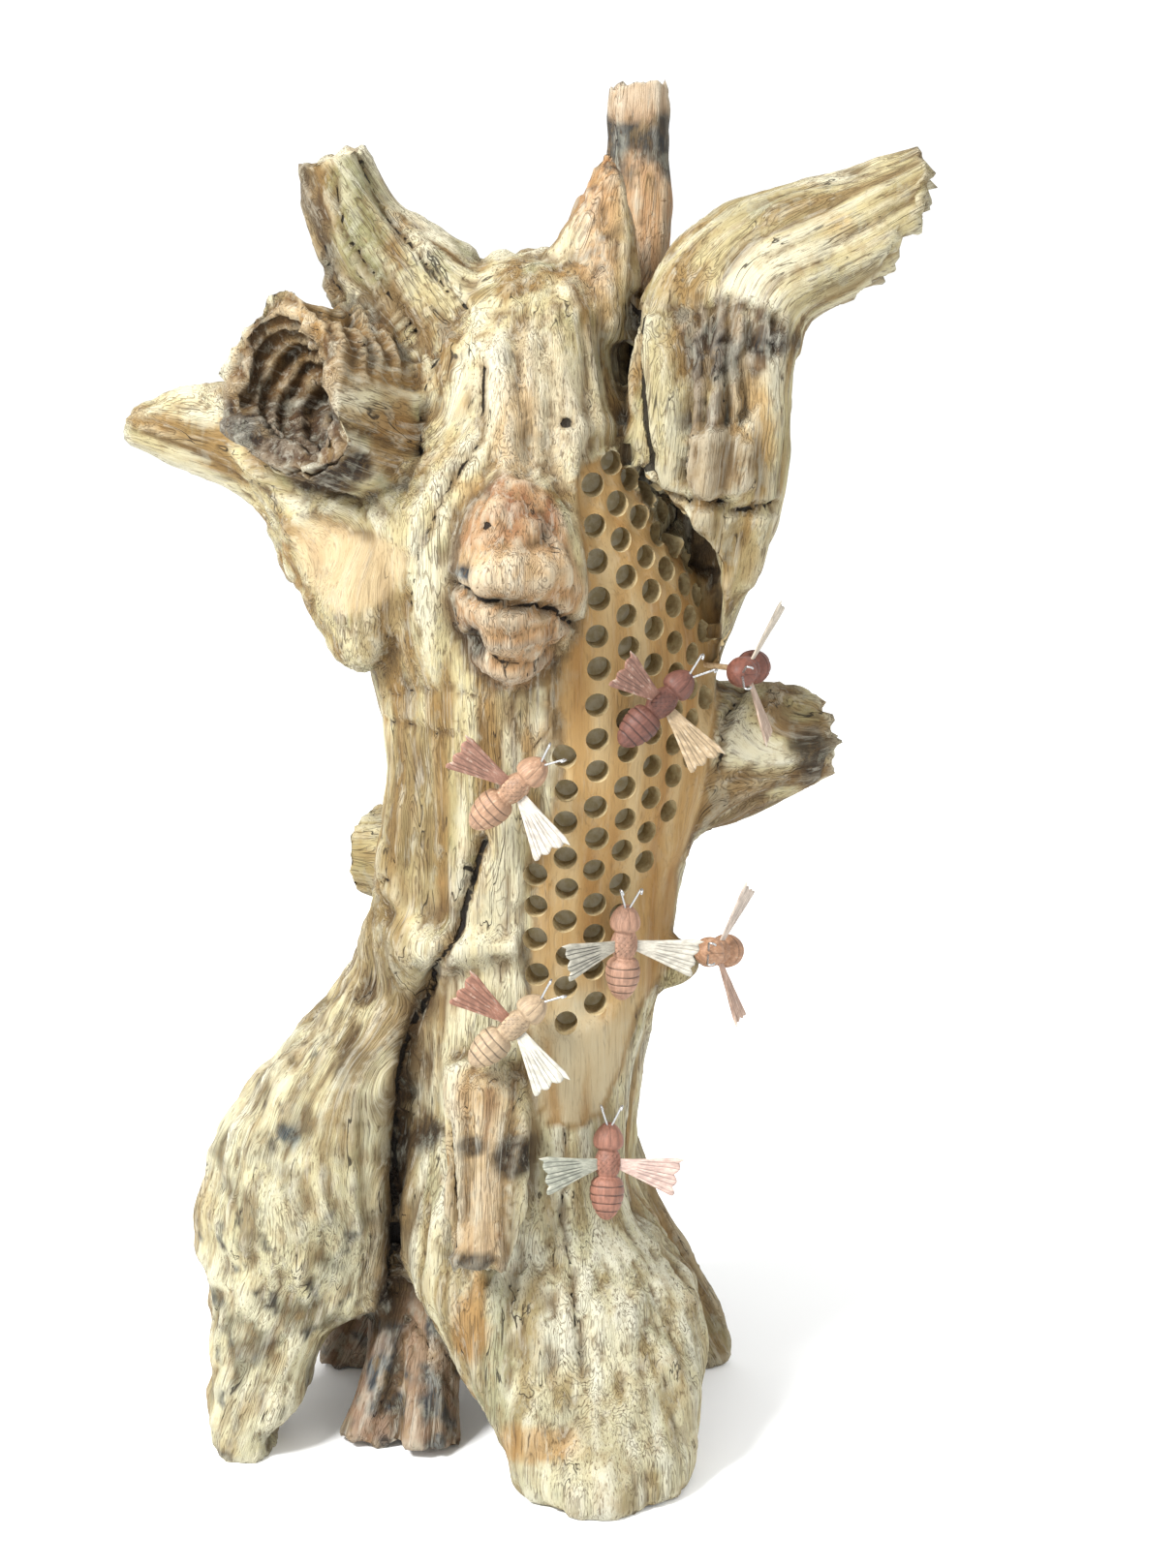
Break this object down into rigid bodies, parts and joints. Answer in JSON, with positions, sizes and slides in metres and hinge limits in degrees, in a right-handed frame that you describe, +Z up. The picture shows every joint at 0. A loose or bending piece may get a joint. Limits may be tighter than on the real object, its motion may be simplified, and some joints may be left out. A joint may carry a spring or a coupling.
{
  "type": "insect hotel",
  "caption": "Weathered root-wood stump on spreading root feet, its front planed and drilled with nest tunnels, with carved wooden bees on pegs.",
  "frame": {"origin": "middle of the base, on the floor", "axes": "+Z up, -Y towards the drilled front, +X to the viewer's right"},
  "size_m": [0.3986, 0.2906, 0.6978],
  "materials": {
    "stump_wood": "bare weathered root wood, sanded and silvered, with dark stains",
    "bee_tan": "carved bare wood, tan",
    "bee_red_brown": "carved bare wood, dark red-brown",
    "bee_pale": "carved bare wood, pale",
    "bee_orange": "carved bare wood, orange",
    "bee_red_tan": "carved bare wood, reddish tan",
    "wing_terracotta": "thin carved bare wood, terracotta",
    "wing_cream": "thin carved bare wood, cream",
    "wing_white": "thin carved bare wood, whitish with dark veins",
    "wing_orange": "thin carved bare wood, pale orange",
    "wing_pink": "thin carved bare wood, pinkish",
    "feeler_wire": "bright soft wire",
    "peg_wood": "plain round wooden peg"
  },
  "bodies": {
    "stump": {"stump": "stump_wood", "bee_1_pin": "peg_wood", "bee_2_pin": "peg_wood", "bee_3_pin": "peg_wood", "bee_4_pin": "peg_wood", "bee_5_pin": "peg_wood", "bee_6_pin": "peg_wood", "bee_7_pin": "peg_wood"},
    "bee_1": {"bee_1_body": "bee_tan", "bee_1_wing_left": "wing_terracotta", "bee_1_wing_right": "wing_cream", "bee_1_feelers": "feeler_wire"},
    "bee_2": {"bee_2_body": "bee_red_brown", "bee_2_wing_left": "wing_terracotta", "bee_2_wing_right": "wing_cream", "bee_2_feelers": "feeler_wire"},
    "bee_3": {"bee_3_body": "bee_pale", "bee_3_wing_left": "wing_terracotta", "bee_3_wing_right": "wing_cream", "bee_3_feelers": "feeler_wire"},
    "bee_4": {"bee_4_body": "bee_orange", "bee_4_wing_left": "wing_white", "bee_4_wing_right": "wing_white", "bee_4_feelers": "feeler_wire"},
    "bee_5": {"bee_5_body": "bee_red_brown", "bee_5_wing_left": "wing_terracotta", "bee_5_wing_right": "wing_cream", "bee_5_feelers": "feeler_wire"},
    "bee_6": {"bee_6_body": "bee_orange", "bee_6_wing_left": "wing_orange", "bee_6_wing_right": "wing_orange", "bee_6_feelers": "feeler_wire"},
    "bee_7": {"bee_7_body": "bee_red_tan", "bee_7_wing_left": "wing_white", "bee_7_wing_right": "wing_pink", "bee_7_feelers": "feeler_wire"}
  },
  "joints": [
    {"name": "bee_1_turn", "type": "hinge", "parent": "stump", "child": "bee_1", "pos_m": [-0.00411, -0.09539, 0.36559], "axis": [-0.0599, -0.998, 0.02], "range_deg": [-45, 45]},
    {"name": "bee_2_turn", "type": "hinge", "parent": "stump", "child": "bee_2", "pos_m": [0.06789, -0.08078, 0.4047], "axis": [0.3303, -0.9437, 0.0189], "range_deg": [-20, 45]},
    {"name": "bee_3_turn", "type": "hinge", "parent": "stump", "child": "bee_3", "pos_m": [-0.00514, -0.09577, 0.24409], "axis": [0.0394, -0.9851, 0.1675], "range_deg": [-40, 40]},
    {"name": "bee_4_turn", "type": "hinge", "parent": "stump", "child": "bee_4", "pos_m": [0.05007, -0.07719, 0.28025], "axis": [0.2871, -0.9571, 0.0383], "range_deg": [-35, 35]},
    {"name": "bee_5_turn", "type": "hinge", "parent": "stump", "child": "bee_5", "pos_m": [0.11227, -0.03533, 0.4109], "axis": [0.9562, -0.2869, -0.0574], "range_deg": [-35, 35]},
    {"name": "bee_6_turn", "type": "hinge", "parent": "stump", "child": "bee_6", "pos_m": [0.09839, -0.04609, 0.26631], "axis": [0.9214, -0.387, 0.0369], "range_deg": [-25, 45]},
    {"name": "bee_7_turn", "type": "hinge", "parent": "stump", "child": "bee_7", "pos_m": [0.04177, -0.09229, 0.16975], "axis": [0.1349, -0.9635, 0.2312], "range_deg": [-20, 40]}
  ]
}
